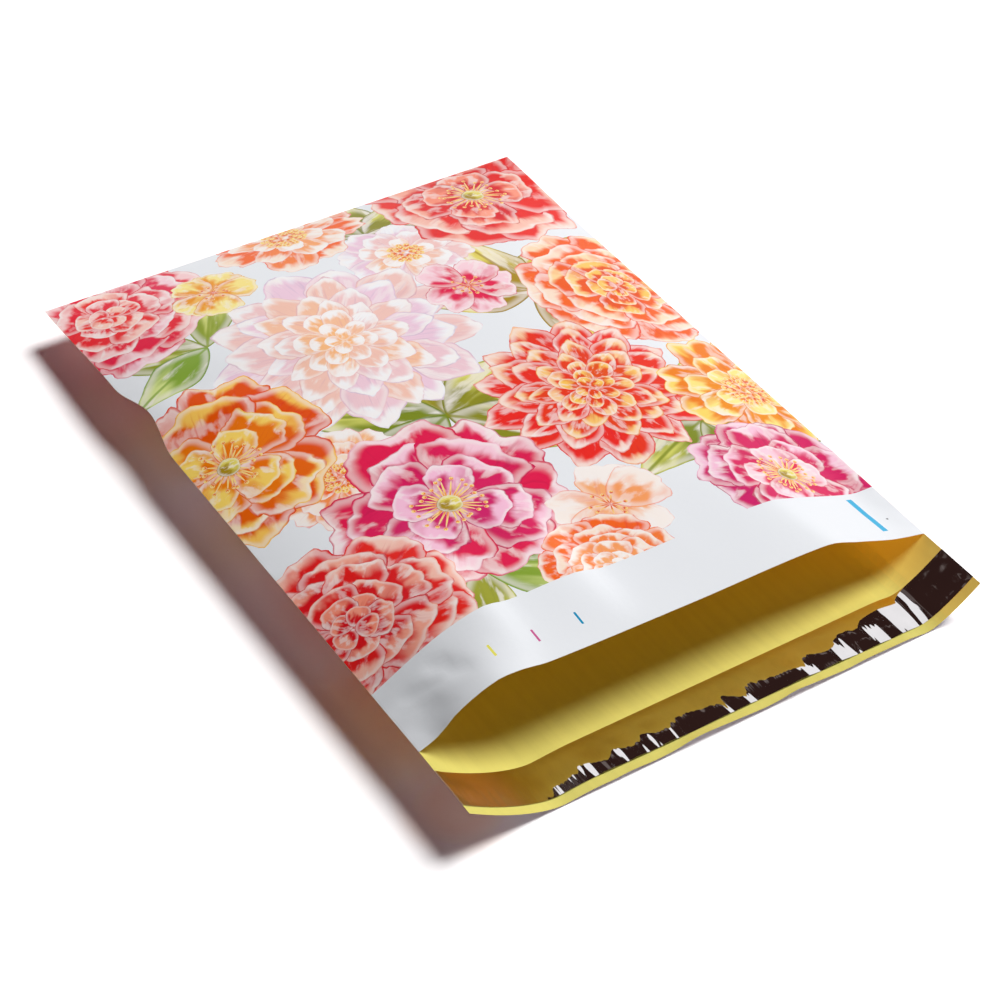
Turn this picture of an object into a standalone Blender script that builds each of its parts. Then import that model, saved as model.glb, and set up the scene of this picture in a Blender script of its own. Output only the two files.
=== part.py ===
"""A printed poly mailer bag, lying on its back with its mouth open and its flap laid out flat.

The bag is one folded sheet of polyethylene film. The sheet makes the front panel, turns round
the bottom fold, makes the back panel and runs on past the mouth as the flap. Both sides are
welded shut, edge to edge. A band of adhesive runs across the inner side of the flap, and a
metallised release liner covers it.

Units are metres. +Z is up, +X runs across the bag, and +Y runs from the flap to the bottom
fold. The origin is on the floor, under the middle of the bag.

A place on the bag is given by two numbers. "across" goes from -1 at the left side weld to +1 at
the right one. "run" is the distance from the lip of the mouth towards the bottom fold, and it is
negative on the flap.
"""

import bmesh
import bpy

# The film, cut from a 254 mm wide sheet
FOLD_WIDTH = 0.254
PANEL_RUN = 0.3285  # a 330 mm panel, less what its slopes take up
FLAP_RUN = 0.0355
FILM = 0.00006
MOUTH_PULL = 0.003  # how far the open mouth draws each side weld in

# Where the edges stand above the floor
FOLD_HEIGHT = 0.0172
LEFT_WELD_HEIGHT = 0.0212
RIGHT_WELD_HEIGHT = 0.0156
FOLD_BLEND = 0.070  # over this run the side welds come to the height of the fold

# The back panel lies flat between these strips, where it rises to its edges
LEFT_RISE = 0.044
RIGHT_RISE = 0.026
FOLD_RISE = 0.085
RISE_POWER = 1.5

# The front panel bulges over the air inside
CROWN = 0.0170  # above the level of the welds
CROWN_POWER = 3.0
FOLD_SWELL = 0.130  # run over which the front rises from the fold
FOLD_SWELL_POWER = 2.5

# The front panel at the lip and at the end of the print, as (across, height) stations
LIP_SECTION = (
    (-1.00, 0.0212),
    (-0.93, 0.0254),
    (-0.86, 0.0337),
    (-0.73, 0.0412),
    (-0.64, 0.0414),
    (-0.53, 0.0389),
    (0.00, 0.0365),
    (0.56, 0.0348),
    (0.70, 0.0284),
    (0.86, 0.0205),
    (1.00, 0.0156),
)
PRINT_END_SECTION = (
    (-1.00, 0.0212),
    (-0.86, 0.0316),
    (-0.75, 0.0385),
    (-0.60, 0.0435),
    (-0.50, 0.0412),
    (-0.25, 0.0405),
    (-0.13, 0.0366),
    (0.20, 0.0355),
    (0.53, 0.0338),
    (0.65, 0.0290),
    (0.90, 0.0170),
    (1.00, 0.0156),
)
PRINT_END_RUN = 0.035
MOUTH_SHAPE_RUN = 0.120  # past this run the mouth no longer shapes the front panel

# The buckle in the left side weld
BUCKLE_RUN = 0.228
BUCKLE_REACH = 0.014
BUCKLE_UP = 0.004
BUCKLE_IN = 0.0035

# The closure on the flap
LINER_WIDTH = 0.0215
LINER_BORDER = 0.0045  # bare film between the liner and the end of the flap
LINER_THICKNESS = 0.00005
ADHESIVE_MARGIN = 0.003  # the liner overhangs the adhesive by this much on both long sides
ADHESIVE_THICKNESS = 0.0002
LAYER_GAP = 0.0003
END_INSET = 0.0005  # both strips stop this far short of the side edges

# The mesh
COLUMNS = 28
ROWS_TO_BUCKLE = 16
ROWS_TO_FOLD = 8
ROWS_ON_FLAP = 3

MIDDLE_RUN = (PANEL_RUN - FLAP_RUN) / 2


def clear_scene():
    """Removes every object that is in the scene."""
    for old in list(bpy.data.objects):
        bpy.data.objects.remove(old)


def evenly(start, end, steps):
    """Gives steps + 1 values from start to end."""
    return [start + (end - start) * i / steps for i in range(steps + 1)]


def ease(value):
    """Goes smoothly from 0 to 1 as the value does, and stays level outside."""
    t = min(max(value, 0.0), 1.0)
    return t * t * (3 - 2 * t)


def curve(points, at):
    """Reads a smooth curve through (place, height) points."""
    inner = [i for i in range(1, len(points) - 1) if points[i][0] <= at]
    i = inner[-1] if inner else 0
    (x0, y0), (x1, y1) = points[i], points[i + 1]
    before = points[max(i - 1, 0)]
    after = points[min(i + 2, len(points) - 1)]
    leaving = (y1 - before[1]) / (x1 - before[0])
    arriving = (after[1] - y0) / (after[0] - x0)
    t = (at - x0) / (x1 - x0)
    span = x1 - x0
    return (
        (2 * t**3 - 3 * t**2 + 1) * y0
        + (t**3 - 2 * t**2 + t) * span * leaving
        + (3 * t**2 - 2 * t**3) * y1
        + (t**3 - t**2) * span * arriving
    )


def buckle(across, run):
    """Gives how strongly the left weld's buckle is felt, from 0 to 1."""
    near = 1 - ease(abs(run - BUCKLE_RUN) / (2 * BUCKLE_REACH))
    return near * ease(-across)


def half_width(run):
    """Gives half the width of the bag as it lies, which the open mouth narrows."""
    return FOLD_WIDTH / 2 - MOUTH_PULL * (1 - max(run, 0.0) / PANEL_RUN)


def weld_level(across, run):
    """Gives the height of the plane through both side welds."""
    towards_fold = ease(1 - (PANEL_RUN - run) / FOLD_BLEND)
    left = LEFT_WELD_HEIGHT + (FOLD_HEIGHT - LEFT_WELD_HEIGHT) * towards_fold
    right = RIGHT_WELD_HEIGHT + (FOLD_HEIGHT - RIGHT_WELD_HEIGHT) * towards_fold
    level = left + (right - left) * (across + 1) / 2
    return level + BUCKLE_UP * buckle(across, run)


def rise_share(distance, reach):
    """Goes from 1 at an edge of the film to 0 where the film lies on the floor."""
    return max(1 - distance / reach, 0.0) ** RISE_POWER


def back_height(across, run):
    """Gives the height of the back panel's or the flap's outer face."""
    side_reach = LEFT_RISE if across < 0 else RIGHT_RISE
    sides = rise_share((1 - abs(across)) * half_width(run), side_reach)
    fold = rise_share(PANEL_RUN - run, FOLD_RISE)
    return weld_level(across, run) * (1 - (1 - sides) * (1 - fold))


def bulge_height(across, run):
    """Gives the height that the air inside lifts the front panel to."""
    swell = 1 - max(1 - (PANEL_RUN - run) / FOLD_SWELL, 0.0) ** FOLD_SWELL_POWER
    return weld_level(across, run) + CROWN * (1 - abs(across) ** CROWN_POWER) * swell


def front_height(across, run):
    """Gives the height of the front panel's outer face."""
    at_lip = curve(LIP_SECTION, across) - bulge_height(across, 0.0)
    at_print_end = curve(PRINT_END_SECTION, across) - bulge_height(across, PRINT_END_RUN)
    stations = ((0.0, at_lip), (PRINT_END_RUN, at_print_end), (MOUTH_SHAPE_RUN, 0.0), (PANEL_RUN, 0.0))
    mouth_shape = curve(stations, run) if run < MOUTH_SHAPE_RUN else 0.0
    return bulge_height(across, run) + mouth_shape


def place(across, run, height):
    """Turns a place on the bag into model coordinates."""
    x = across * half_width(run) + BUCKLE_IN * buckle(across, run)
    return (x, run - MIDDLE_RUN, height)


def add_mesh(name, mesh_data, materials):
    """Makes an object from a bmesh and gives it its materials."""
    mesh = bpy.data.meshes.new(name)
    mesh_data.to_mesh(mesh)
    mesh_data.free()
    for material in materials:
        mesh.materials.append(material)
    mesh.shade_smooth()
    made = bpy.data.objects.new(name, mesh)
    bpy.context.scene.collection.objects.link(made)
    return made


def thicken(made, thickness, offset):
    """Turns a sheet into a closed solid. The offset is -1 behind its faces and +1 before them."""
    solid = made.modifiers.new("thickness", "SOLIDIFY")
    solid.thickness = thickness
    solid.offset = offset
    solid.use_rim = True
    return solid


def material(name, colour, roughness, metallic=0.0):
    """Makes a plain Principled material."""
    made = bpy.data.materials.new(name)
    made.use_nodes = True
    shader = made.node_tree.nodes["Principled BSDF"]
    shader.inputs["Base Color"].default_value = (*colour, 1.0)
    shader.inputs["Roughness"].default_value = roughness
    shader.inputs["Metallic"].default_value = metallic
    made.diffuse_color = (*colour, 1.0)
    return made


def add_triangles(sheet, rows, facing_up):
    """Fills a grid of vertices. The diagonals point at the outer far corners, where panels meet."""
    for near, far in zip(rows, rows[1:]):
        for i in range(COLUMNS):
            a, b, c, d = near[i], near[i + 1], far[i + 1], far[i]
            halves = ((a, b, d), (b, c, d)) if 2 * i < COLUMNS else ((a, b, c), (a, c, d))
            for corners in halves:
                sheet.faces.new(corners if facing_up else corners[::-1])


def bag_film():
    """Makes the folded film: both panels meet at the welds and the fold, and the mouth is open."""
    sheet = bmesh.new()
    stations = evenly(-1.0, 1.0, COLUMNS)
    panel_runs = evenly(0.0, BUCKLE_RUN, ROWS_TO_BUCKLE) + evenly(BUCKLE_RUN, PANEL_RUN, ROWS_TO_FOLD)[1:]
    back_runs = evenly(-FLAP_RUN, 0.0, ROWS_ON_FLAP)[:-1] + panel_runs

    back = [[sheet.verts.new(place(a, run, back_height(a, run))) for a in stations] for run in back_runs]
    front = []
    for run, back_row in zip(panel_runs, back[ROWS_ON_FLAP:]):
        if run == panel_runs[-1]:
            front.append(back_row)
            continue
        inner = [sheet.verts.new(place(a, run, front_height(a, run))) for a in stations[1:-1]]
        front.append([back_row[0], *inner, back_row[-1]])

    add_triangles(sheet, back, facing_up=False)
    add_triangles(sheet, front, facing_up=True)

    outside = material("printed_film", (0.86, 0.62, 0.62), 0.40)
    inside = material("yellow_inner_film", (0.78, 0.69, 0.16), 0.40)
    made = add_mesh("bag_film", sheet, (outside, inside))
    walls = thicken(made, FILM, -1.0)
    walls.material_offset = 1
    walls.material_offset_rim = 1
    return made


def flap_strip(name, near_run, width, lift, thickness, finish):
    """Makes a thin strip across the flap that follows the film at a given lift."""
    sheet = bmesh.new()
    end = 1 - END_INSET / half_width(near_run)
    stations = [-end, *evenly(-1.0, 1.0, COLUMNS)[1:-1], end]
    rows = [
        [sheet.verts.new(place(a, run, back_height(a, run) + FILM + lift)) for a in stations]
        for run in (near_run, near_run + width)
    ]
    add_triangles(sheet, rows, facing_up=True)
    made = add_mesh(name, sheet, (finish,))
    thicken(made, thickness, 1.0)
    return made


def adhesive_strip():
    """Makes the band of adhesive on the inner side of the flap."""
    return flap_strip(
        "adhesive_strip",
        -FLAP_RUN + LINER_BORDER + ADHESIVE_MARGIN,
        LINER_WIDTH - 2 * ADHESIVE_MARGIN,
        LAYER_GAP,
        ADHESIVE_THICKNESS,
        material("clear_adhesive", (0.74, 0.66, 0.34), 0.30),
    )


def release_liner():
    """Makes the metallised liner that covers the adhesive until the bag is closed."""
    return flap_strip(
        "release_liner",
        -FLAP_RUN + LINER_BORDER,
        LINER_WIDTH,
        2 * LAYER_GAP + ADHESIVE_THICKNESS,
        LINER_THICKNESS,
        material("metallised_liner", (0.70, 0.68, 0.66), 0.06, 1.0),
    )


def main():
    """Builds the bag."""
    clear_scene()
    bag_film()
    adhesive_strip()
    release_liner()


if __name__ == "__main__":
    main()
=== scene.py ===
"""Looks of the printed poly mailer bag: the film's drape and print, the closure, light and camera.

The film is laid out flat first, as the sheet that the bag was folded from. The print's petals and
leaves are cut into that flat sheet as areas of ink, and the sheet is then draped into the shape
of the bag. Each area keeps its own petal coordinates, so the watercolour shading is painted by
nodes, petal by petal.

Lengths on the flat sheet are in millimetres, and everything in space is in metres.
"""

import logging
import math
import random
from dataclasses import dataclass, field
from enum import Enum
from functools import partialmethod
from typing import ClassVar

import bpy
import numpy as np
from mathutils import Matrix, Vector
from mathutils.bvhtree import BVHTree
from mathutils.geometry import delaunay_2d_cdt


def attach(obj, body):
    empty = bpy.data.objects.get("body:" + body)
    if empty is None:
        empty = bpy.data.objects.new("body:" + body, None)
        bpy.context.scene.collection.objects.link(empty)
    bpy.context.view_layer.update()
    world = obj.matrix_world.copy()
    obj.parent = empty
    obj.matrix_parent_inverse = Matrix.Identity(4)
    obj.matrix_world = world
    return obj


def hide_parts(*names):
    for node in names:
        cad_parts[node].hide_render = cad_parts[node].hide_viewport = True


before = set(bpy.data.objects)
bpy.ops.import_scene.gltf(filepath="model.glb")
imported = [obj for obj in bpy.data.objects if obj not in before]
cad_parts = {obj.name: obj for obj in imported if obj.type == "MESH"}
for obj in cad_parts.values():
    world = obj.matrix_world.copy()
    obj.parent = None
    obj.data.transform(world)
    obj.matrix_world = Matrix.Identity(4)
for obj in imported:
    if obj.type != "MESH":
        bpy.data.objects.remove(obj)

LOG = logging.getLogger("mailer_bag")
MM = 0.001
BODY = "root"

Array = np.ndarray
Piece = bpy.types.Object
Socket = bpy.types.NodeSocket
Tone = tuple[float, float, float]
Place = tuple[float, float, float]
Point = tuple[float, float]


def linear(tone: Tone) -> Tone:
    """Turns an sRGB tone into scene-linear light.

    Args:
        tone: red, green and blue from 0 to 255.

    Returns:
        Linear red, green and blue from 0 to 1.
    """
    scaled = np.asarray(tone, float) / 255
    low = scaled / 12.92
    high = ((scaled + 0.055) / 1.055) ** 2.4
    return tuple(float(v) for v in np.where(scaled <= 0.04045, low, high))


def ease(value: Array | float) -> Array:
    """Goes smoothly from 0 to 1 as the value does, and stays level outside."""
    t = np.clip(value, 0.0, 1.0)
    return t * t * (3 - 2 * t)


def hermite(share: Array, span: Array | float, first: tuple, second: tuple) -> Array:
    """Goes smoothly from one height to another.

    Args:
        share: how far along each place is, from 0 to 1.
        span: the distance between the two heights.
        first: the height at a share of 0, and the slope there.
        second: the height at a share of 1, and the slope there.

    Returns:
        The height at each place.
    """
    square, cube = share**2, share**3
    return (
        (2 * cube - 3 * square + 1) * first[0]
        + (cube - 2 * square + share) * span * first[1]
        + (3 * square - 2 * cube) * second[0]
        + (cube - square) * span * second[1]
    )


class SmoothCurve:
    """A smooth curve through (place, height) stations."""

    def __init__(self, stations: tuple[Point, ...]) -> None:
        """Keeps the stations and works out the slope at each.

        Args:
            stations: places in rising order, each with its height.
        """
        self.places, self.heights = np.array(stations, float).T
        steps = np.diff(self.heights) / np.diff(self.places)
        inner = (self.heights[2:] - self.heights[:-2]) / (self.places[2:] - self.places[:-2])
        self.slopes = np.concatenate([steps[:1], inner, steps[-1:]])

    def __call__(self, at: Array) -> Array:
        """Reads the curve.

        Args:
            at: the places to read.

        Returns:
            The heights there.
        """
        i = np.clip(np.searchsorted(self.places, at, side="right") - 1, 0, len(self.places) - 2)
        span = self.places[i + 1] - self.places[i]
        ends = [(self.heights[j], self.slopes[j]) for j in (i, i + 1)]
        return hermite((at - self.places[i]) / span, span, *ends)


@dataclass(frozen=True)
class Crease:
    """A soft fold line in a panel, in metres across the bag and along its run."""

    start: Point
    end: Point
    height: float
    width: float

    def height_at(self, x: Array, run: Array) -> Array:
        """Gives how far the crease lifts the film.

        Args:
            x: places across the bag.
            run: places along the bag from the lip.

        Returns:
            The lift at each place, which is negative in a valley.
        """
        ax, ay = self.start
        dx, dy = self.end[0] - ax, self.end[1] - ay
        length = math.hypot(dx, dy)
        along = ((x - ax) * dx + (run - ay) * dy) / length**2
        off = ((run - ay) * dx - (x - ax) * dy) / length
        ends = ease(along / 0.25) * ease((1 - along) / 0.35)
        return self.height * np.exp(-((off / self.width) ** 2)) * ends


@dataclass
class FilmShape:
    """The form of the bag as it lies, in metres, with the same driving sizes as its solids."""

    fold_width: float = 0.254
    panel_run: float = 0.3285
    flap_run: float = 0.0355
    panel_length: float = 0.330
    flap_length: float = 0.036
    film: float = 0.00006
    mouth_pull: float = 0.003
    fold_height: float = 0.0172
    left_weld_height: float = 0.0212
    right_weld_height: float = 0.0156
    fold_blend: float = 0.070
    left_rise: float = 0.044
    right_rise: float = 0.026
    fold_rise: float = 0.085
    rise_power: float = 1.5
    crown: float = 0.0170
    crown_power: float = 3.0
    fold_swell: float = 0.130
    fold_swell_power: float = 2.5
    print_end_run: float = 0.035
    mouth_shape_run: float = 0.120
    buckle_run: float = 0.228
    buckle_reach: float = 0.014
    buckle_up: float = 0.004
    buckle_in: float = 0.0035
    pucker_length: float = 0.0105
    pucker_height: float = 0.00022
    pucker_reach: float = 0.011
    pucker_start: float = 0.004
    pucker_drift: tuple[Point, Point] = ((2.1, 61), (1.3, 143))
    closure_lift: float = 0.0019
    closure_middle: float = 0.0165
    closure_fall: float = 0.0011
    closure_start: Point = (0.001, 0.017)
    closure_left: Point = (-0.72, 0.22)
    closure_right: Point = (0.86, 0.16)
    least_slack: float = 0.05
    slack_steps: tuple[tuple[float, float, float], ...] = ((0.85, -0.62, 0.50), (0.60, 0.42, 0.28))
    flap_wave: float = 0.0003
    end_curl_run: float = -0.0310
    end_curl_reach: float = 0.0045
    end_curl_section: tuple[Point, ...] = (
        (-1.00, 0.0), (-0.48, 0.0), (-0.40, 0.0008), (-0.31, 0.0005), (-0.23, 0.0012),
        (-0.165, 0.0026), (-0.11, 0.0027), (0.00, 0.0016), (0.12, 0.0006), (0.18, 0.0010),
        (0.24, 0.0023), (0.30, 0.0019), (0.41, 0.0011), (0.46, 0.0010), (0.53, 0.0019),
        (0.64, 0.0017), (0.73, 0.0014), (0.82, 0.0004), (0.90, 0.0), (1.00, 0.0),
    )
    lip_section: tuple[Point, ...] = (
        (-1.00, 0.0212), (-0.93, 0.0254), (-0.86, 0.0337), (-0.73, 0.0412), (-0.64, 0.0414),
        (-0.53, 0.0389), (0.00, 0.0365), (0.56, 0.0348), (0.70, 0.0284), (0.86, 0.0205),
        (1.00, 0.0156),
    )
    print_end_section: tuple[Point, ...] = (
        (-1.00, 0.0212), (-0.86, 0.0316), (-0.75, 0.0385), (-0.60, 0.0435), (-0.50, 0.0412),
        (-0.25, 0.0405), (-0.13, 0.0366), (0.20, 0.0355), (0.53, 0.0338), (0.65, 0.0290),
        (0.90, 0.0170), (1.00, 0.0156),
    )
    front_creases: tuple[Crease, ...] = (
        Crease((-0.122, 0.232), (-0.040, 0.214), -0.0016, 0.011),
        Crease((-0.121, 0.221), (-0.070, 0.196), 0.0008, 0.008),
        Crease((-0.1040, 0.0305), (-0.0940, 0.0090), -0.0014, 0.0030),
        Crease((-0.1190, 0.0240), (-0.1010, 0.0155), -0.0010, 0.0024),
        Crease((-0.1130, 0.0190), (-0.1080, 0.0010), -0.0010, 0.0026),
    )

    def __post_init__(self) -> None:
        """Prepares the section curves."""
        self.lip = SmoothCurve(self.lip_section)
        self.print_end = SmoothCurve(self.print_end_section)
        self.end_curl = SmoothCurve(self.end_curl_section)
        self.middle_run = (self.panel_run - self.flap_run) / 2

    def buckle(self, across: Array, run: Array) -> Array:
        """Gives how strongly the left weld's buckle is felt, from 0 to 1."""
        near = 1 - ease(np.abs(run - self.buckle_run) / (2 * self.buckle_reach))
        return near * ease(-across)

    def half_width(self, run: Array) -> Array:
        """Gives half the width of the bag as it lies."""
        return self.fold_width / 2 - self.mouth_pull * (1 - np.maximum(run, 0.0) / self.panel_run)

    def weld_level(self, across: Array, run: Array) -> Array:
        """Gives the height of the plane through both side welds.

        Args:
            across: places across the bag, from -1 to 1.
            run: places along the bag from the lip.

        Returns:
            The heights above the floor.
        """
        towards_fold = ease(1 - (self.panel_run - run) / self.fold_blend)
        left = self.left_weld_height + (self.fold_height - self.left_weld_height) * towards_fold
        right = self.right_weld_height + (self.fold_height - self.right_weld_height) * towards_fold
        level = left + (right - left) * (across + 1) / 2
        return level + self.buckle_up * self.buckle(across, run)

    def rise_share(self, distance: Array, reach: Array | float) -> Array:
        """Goes from 1 at an edge of the film to 0 where the film lies on the floor."""
        return np.maximum(1 - distance / reach, 0.0) ** self.rise_power

    def puckers(self, across: Array, run: Array) -> Array:
        """Gives the small gathers that run in from the side welds.

        Args:
            across: places across the bag, from -1 to 1.
            run: places along the bag from the lip.

        Returns:
            The lift of the film, which is 0 on the weld itself.
        """
        inward = (1 - np.abs(across)) * self.half_width(run)
        reach = np.exp(-inward / self.pucker_reach) * ease(inward / self.pucker_start)
        (slow, slow_rate), (quick, quick_rate) = self.pucker_drift
        drift = slow * np.sin(run * slow_rate + 3 * np.sign(across)) + quick * np.sin(run * quick_rate)
        wave = np.sin(2 * math.pi * run / self.pucker_length + drift)
        return self.pucker_height * wave * reach

    def flap_relief(self, across: Array, run: Array) -> Array:
        """Gives how the stiffer closure lifts the flap, and how the flap's cut end curls up.

        Args:
            across: places across the bag, from -1 to 1.
            run: places along the bag, negative on the flap.

        Returns:
            The lift of the film off the floor.
        """
        (left, left_reach), (right, right_reach) = self.closure_left, self.closure_right
        window = ease((across - left) / left_reach) * ease((right - across) / right_reach)
        rise = self.closure_lift * ease((-run + self.closure_start[0]) / self.closure_start[1])
        beyond = np.maximum(-run - self.closure_middle, 0) / self.closure_middle
        slack = self.least_slack
        for share, at, reach in self.slack_steps:
            slack = slack + share * ease((across - at) / reach)
        fall = self.closure_fall * beyond**2 * slack
        wave = self.flap_wave * np.sin(across * 7 + 0.7) * ease((-run - 0.02) / 0.014)
        curl = self.end_curl(across) * ease((self.end_curl_run - run) / self.end_curl_reach)
        return window * (np.maximum(rise - fall + wave, 0) + curl)

    def back(self, across: Array, run: Array) -> Array:
        """Gives the height of the outer face of the back panel and the flap.

        Args:
            across: places across the bag, from -1 to 1.
            run: places along the bag, negative on the flap.

        Returns:
            The heights above the floor.
        """
        side_reach = np.where(across < 0, self.left_rise, self.right_rise)
        sides = self.rise_share((1 - np.abs(across)) * self.half_width(run), side_reach)
        fold = self.rise_share(self.panel_run - run, self.fold_rise)
        lifted = 1 - (1 - sides) * (1 - fold)
        height = (self.weld_level(across, run) - 2 * self.film) * lifted + self.flap_relief(across, run)
        return height + np.maximum(self.puckers(across, run), -0.5 * height) * ease(lifted / 0.4)

    def bulge(self, across: Array, run: Array) -> Array:
        """Gives the height that the air inside lifts the front panel to."""
        swell = 1 - np.maximum(1 - (self.panel_run - run) / self.fold_swell, 0.0) ** self.fold_swell_power
        return self.weld_level(across, run) + self.crown * (1 - np.abs(across) ** self.crown_power) * swell

    def front(self, across: Array, run: Array) -> Array:
        """Gives the height of the front panel's outer face.

        Args:
            across: places across the bag, from -1 to 1.
            run: places along the bag from the lip.

        Returns:
            The heights above the floor.
        """
        at_lip = self.lip(across) - self.bulge(across, 0 * run)
        at_print_end = self.print_end(across) - self.bulge(across, 0 * run + self.print_end_run)
        first, second = self.print_end_run, self.mouth_shape_run
        lip_end = (at_lip, (at_print_end - at_lip) / first)
        print_end = (at_print_end, -at_lip / second)
        near = hermite(np.clip(run / first, 0, 1), first, lip_end, print_end)
        beyond = np.clip((run - first) / (second - first), 0, 1)
        far = hermite(beyond, second - first, print_end, (0.0, 0.0))
        height = self.bulge(across, run) + np.where(run < first, near, far)
        x = across * self.half_width(run)
        inward = ease((1 - np.abs(across)) * self.half_width(run) / 0.006)
        relief = sum(crease.height_at(x, run) for crease in self.front_creases)
        return height + relief * inward + self.puckers(across, run)

    def place(self, x_flat: Array, sheet_run: Array) -> Array:
        """Drapes points of the flat sheet.

        Args:
            x_flat: metres across the flat sheet, from its middle.
            sheet_run: metres along the sheet from the lip, over the fold, to the end of the flap.

        Returns:
            One point in space for each, in rows of x, y and z.
        """
        across = np.clip(x_flat / (self.fold_width / 2), -1, 1)
        on_front = sheet_run <= self.panel_length
        back_run = (2 * self.panel_length - sheet_run) * self.panel_run / self.panel_length
        flap_run = (2 * self.panel_length - sheet_run) * self.flap_run / self.flap_length
        front_run = sheet_run * self.panel_run / self.panel_length
        run = np.where(on_front, front_run, np.where(back_run >= 0, back_run, flap_run))
        height = np.where(on_front, self.front(across, np.maximum(run, 0)), self.back(across, run))
        x = across * self.half_width(run) + self.buckle_in * self.buckle(across, run)
        return np.stack([x, run - self.middle_run, height], axis=1)


class PetalForm(Enum):
    """Outlines of petals: where the shoulder is, and how square the sides and the tip are."""

    ROUND = (0.62, 2.0, 2.3)
    OVAL = (0.52, 2.0, 2.0)
    POINTED = (0.50, 1.45, 1.45)
    LEAF = (0.42, 1.25, 1.20)


BASE_POWER = 1.5  # how square every petal is towards its base


@dataclass(frozen=True)
class Wash:
    """Three tones of one watercolour wash, in sRGB from 0 to 255."""

    heart: Tone
    body: Tone
    rim: Tone

    def towards(self, other: "Wash", share: float) -> "Wash":
        """Mixes this wash with another.

        Args:
            other: the wash at a share of 1.
            share: from 0 to 1.

        Returns:
            The mixed wash.
        """
        pairs = ((self.heart, other.heart), (self.body, other.body), (self.rim, other.rim))
        return Wash(*(tuple(p + (q - p) * share for p, q in zip(a, b)) for a, b in pairs))


class Palette(Enum):
    """The washes that the blossoms and leaves are painted in."""

    CORAL = Wash((238, 34, 24), (254, 206, 190), (214, 16, 50))
    SCARLET = Wash((216, 10, 30), (252, 148, 122), (172, 4, 40))
    ROSE = Wash((228, 18, 76), (254, 214, 224), (198, 10, 70))
    MAGENTA = Wash((208, 18, 102), (251, 194, 220), (166, 8, 78))
    BLUSH = Wash((253, 190, 132), (254, 249, 247), (238, 148, 144))
    PEARL = Wash((244, 208, 226), (250, 250, 253), (206, 178, 206))
    PEACH = Wash((248, 102, 28), (255, 228, 206), (232, 62, 62))
    ORANGE = Wash((230, 78, 2), (254, 200, 92), (218, 46, 22))
    GOLD = Wash((240, 126, 4), (255, 218, 104), (224, 90, 22))
    LEMON = Wash((242, 154, 18), (255, 236, 150), (216, 128, 36))
    LEAF = Wash((116, 136, 18), (214, 216, 108), (92, 118, 22))
    OLIVE = Wash((170, 138, 20), (234, 218, 104), (136, 114, 20))
    SPRING = Wash((128, 168, 54), (216, 230, 148), (98, 140, 50))


@dataclass(frozen=True)
class Brush:
    """How wet the paint is, and how clearly the veins and the midrib are drawn, from 0 to 1."""

    vein: float = 0.6
    rib: float = 0.0
    wet: float = 1.0


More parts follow.
